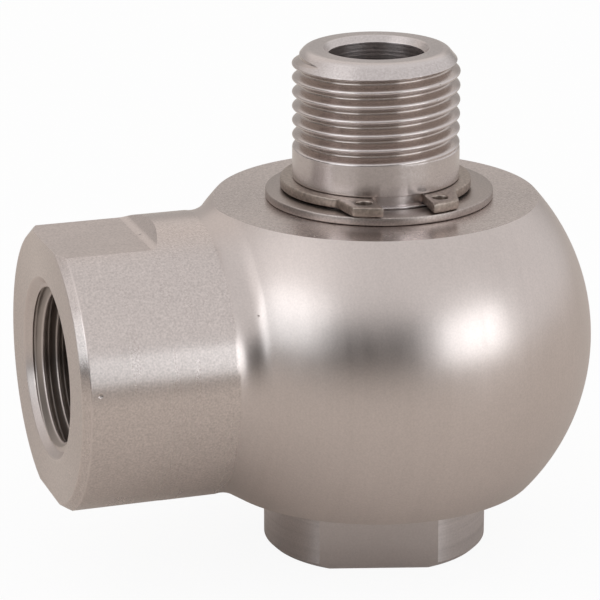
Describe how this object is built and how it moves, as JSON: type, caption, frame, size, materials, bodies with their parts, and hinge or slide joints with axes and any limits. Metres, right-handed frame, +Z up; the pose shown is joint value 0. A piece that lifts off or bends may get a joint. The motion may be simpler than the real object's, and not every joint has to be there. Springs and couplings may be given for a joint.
{
  "type": "hose swivel",
  "caption": "Ball-shaped right-angle hose swivel: a spindle with a male pipe thread turns inside a housing whose neck has a female port.",
  "frame": {"origin": "centre of the flat underside of the spindle's head, where the part stands", "axes": "+Z up the spindle's axis to its male thread, -X out of the side port of the neck at rest"},
  "size_m": [0.0703, 0.0546, 0.0644],
  "materials": {
    "housing_stainless": "turned satin stainless steel",
    "spindle_stainless": "turned stainless steel",
    "spring_steel": "tumbled spring steel",
    "washer_steel": "rolled steel",
    "bearing_bronze": "turned bronze",
    "seal_rubber": "smooth nitrile rubber",
    "white_ptfe": "waxy fluoropolymer"
  },
  "bodies": {
    "spindle": {"spindle": "spindle_stainless", "circlip": "spring_steel", "support_washer": "washer_steel"},
    "housing": {"housing": "housing_stainless", "upper_thrust_ring": "bearing_bronze", "lower_thrust_ring": "bearing_bronze", "upper_bush": "bearing_bronze", "lower_bush": "bearing_bronze", "upper_wiper": "seal_rubber", "lower_wiper": "seal_rubber", "upper_seal": "seal_rubber", "lower_seal": "seal_rubber", "upper_back_up_ring": "white_ptfe", "lower_back_up_ring": "white_ptfe"}
  },
  "joints": [
    {"name": "swivel", "type": "hinge", "parent": "spindle", "child": "housing", "pos_m": [0, 0, 0.02719], "axis": [0, 0, 1], "continuous": true}
  ]
}
